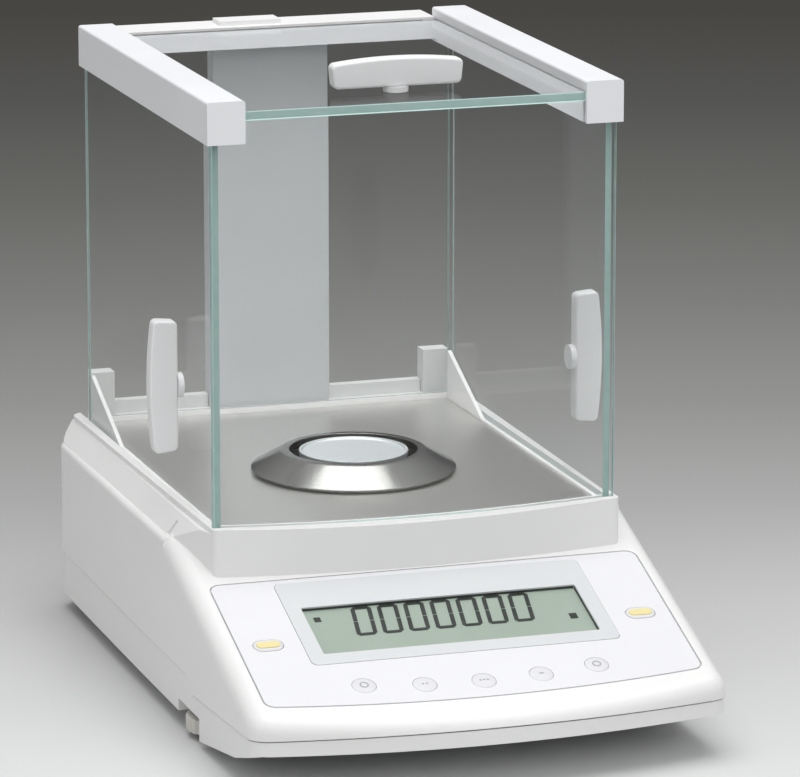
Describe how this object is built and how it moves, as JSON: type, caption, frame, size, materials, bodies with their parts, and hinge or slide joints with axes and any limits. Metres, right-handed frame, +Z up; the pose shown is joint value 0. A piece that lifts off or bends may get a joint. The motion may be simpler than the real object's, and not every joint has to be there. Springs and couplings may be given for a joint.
{
  "type": "laboratory microbalance",
  "caption": "Bench microbalance with a sliding-door glass weighing chamber over a low case with a sloping display panel and keys.",
  "frame": {"origin": "centre of the footprint on the table, under the feet", "axes": "+Z up; the display faces -Y; +X to the viewer's right"},
  "size_m": [0.2112, 0.3426, 0.2849],
  "materials": {
    "case_plastic": "satin",
    "clear_glass": "clear",
    "satin_steel": "satin",
    "handle_plastic": "satin",
    "rail_paint": "satin",
    "polished_steel": "polished",
    "machined_aluminium": "machined",
    "panel_film": "matte",
    "display_glass": "clear",
    "display_tray": "diffusing",
    "display_figures": "matte",
    "key_film": "satin",
    "yellow_key": "satin",
    "circuit_board": "matte",
    "foot_plastic": "matte",
    "dark_plastic": "matte",
    "foot_rubber": "matte",
    "spring_steel": "satin",
    "magnet_steel": "satin",
    "copper_wire": "enamelled",
    "brass_weight": "polished",
    "screw_steel": "plated"
  },
  "bodies": {
    "balance": {"upper_housing": "case_plastic", "base_pan": "case_plastic", "chamber_tray": "case_plastic", "floor_plate": "satin_steel", "right_corner_post": "case_plastic", "left_corner_post": "case_plastic", "right_door_guide": "case_plastic", "left_door_guide": "case_plastic", "front_glass": "clear_glass", "rear_glass": "clear_glass", "right_top_rail": "rail_paint", "left_top_rail": "rail_paint", "rear_top_beam": "rail_paint", "rear_column": "rail_paint", "column_back_cover": "case_plastic", "pan_support": "machined_aluminium", "keypad_overlay": "panel_film", "display_frame": "panel_film", "lcd_glass": "display_glass", "lcd_backlight": "display_tray", "lcd_segments": "display_figures", "display_board": "circuit_board", "key_switches": "dark_plastic", "rear_feet": "foot_rubber", "weigh_cell_frame": "machined_aluminium", "cell_mounts": "foot_rubber", "load_receiver": "machined_aluminium", "guide_links": "spring_steel", "transfer_lever": "machined_aluminium", "magnet_pot": "magnet_steel", "force_coil": "copper_wire", "lift_motor": "magnet_steel", "main_board": "circuit_board", "power_module": "dark_plastic", "power_jack": "dark_plastic", "data_port": "magnet_steel", "case_screws": "screw_steel", "tray_screws": "screw_steel"},
    "right_door": {"right_door_glass": "clear_glass", "right_door_handle": "handle_plastic"},
    "left_door": {"left_door_glass": "clear_glass", "left_door_handle": "handle_plastic"},
    "top_door": {"top_door_glass": "clear_glass", "top_door_end_strip": "case_plastic", "top_door_handle": "handle_plastic"},
    "draught_ring": {"shield_ring": "polished_steel"},
    "pan": {"weighing_pan": "polished_steel"},
    "calibration_set": {"calibration_weight": "brass_weight", "weight_lifter": "dark_plastic"},
    "left_foot_thrust": {"left_foot_pad": "foot_rubber"},
    "left_foot": {"left_levelling_foot": "foot_plastic"},
    "right_foot_thrust": {"right_foot_pad": "foot_rubber"},
    "right_foot": {"right_levelling_foot": "foot_plastic"},
    "key_far_left_body": {"key_far_left": "key_film"},
    "key_left_body": {"key_left": "key_film"},
    "key_middle_body": {"key_middle": "key_film"},
    "key_right_body": {"key_right": "key_film"},
    "key_far_right_body": {"key_far_right": "key_film"},
    "tare_key_left_body": {"tare_key_left": "yellow_key"},
    "tare_key_right_body": {"tare_key_right": "yellow_key"}
  },
  "joints": [
    {"name": "right_door_slide", "type": "slide", "parent": "balance", "child": "right_door", "axis": [0, 1, 0], "range_m": [0, 0.14]},
    {"name": "left_door_slide", "type": "slide", "parent": "balance", "child": "left_door", "axis": [0, 1, 0], "range_m": [0, 0.14]},
    {"name": "top_door_slide", "type": "slide", "parent": "balance", "child": "top_door", "axis": [0, 1, 0], "range_m": [0, 0.14]},
    {"name": "ring_lift", "type": "slide", "parent": "balance", "child": "draught_ring", "axis": [0, 0, 1], "range_m": [0, 0.04]},
    {"name": "pan_lift", "type": "slide", "parent": "balance", "child": "pan", "axis": [0, 0, 1], "range_m": [0, 0.06]},
    {"name": "calibration_lift", "type": "slide", "parent": "balance", "child": "calibration_set", "axis": [0, 0, -1], "range_m": [0, 0.001]},
    {"name": "key_far_left_press", "type": "slide", "parent": "balance", "child": "key_far_left_body", "axis": [0, 0.3267, -0.9451], "range_m": [0, 0.0007], "stiffness_N_per_m": 1500},
    {"name": "key_left_press", "type": "slide", "parent": "balance", "child": "key_left_body", "axis": [0, 0.3267, -0.9451], "range_m": [0, 0.0007], "stiffness_N_per_m": 1500},
    {"name": "key_middle_press", "type": "slide", "parent": "balance", "child": "key_middle_body", "axis": [0, 0.3267, -0.9451], "range_m": [0, 0.0007], "stiffness_N_per_m": 1500},
    {"name": "key_right_press", "type": "slide", "parent": "balance", "child": "key_right_body", "axis": [0, 0.3267, -0.9451], "range_m": [0, 0.0007], "stiffness_N_per_m": 1500},
    {"name": "key_far_right_press", "type": "slide", "parent": "balance", "child": "key_far_right_body", "axis": [0, 0.3267, -0.9451], "range_m": [0, 0.0007], "stiffness_N_per_m": 1500},
    {"name": "tare_key_left_press", "type": "slide", "parent": "balance", "child": "tare_key_left_body", "axis": [0, 0.3267, -0.9451], "range_m": [0, 0.0007], "stiffness_N_per_m": 1500},
    {"name": "tare_key_right_press", "type": "slide", "parent": "balance", "child": "tare_key_right_body", "axis": [0, 0.3267, -0.9451], "range_m": [0, 0.0007], "stiffness_N_per_m": 1500},
    {"name": "left_foot_travel", "type": "slide", "parent": "balance", "child": "left_foot_thrust", "axis": [0, 0, 1], "range_m": [-0.003, 0.003]},
    {"name": "left_foot_turn", "type": "hinge", "parent": "left_foot_thrust", "child": "left_foot", "pos_m": [-0.0906, -0.06, 0.003], "axis": [0, 0, 1], "range_deg": [-1080, 1080]},
    {"name": "right_foot_travel", "type": "slide", "parent": "balance", "child": "right_foot_thrust", "axis": [0, 0, 1], "range_m": [-0.003, 0.003]},
    {"name": "right_foot_turn", "type": "hinge", "parent": "right_foot_thrust", "child": "right_foot", "pos_m": [0.0906, -0.06, 0.003], "axis": [0, 0, 1], "range_deg": [-1080, 1080]}
  ]
}
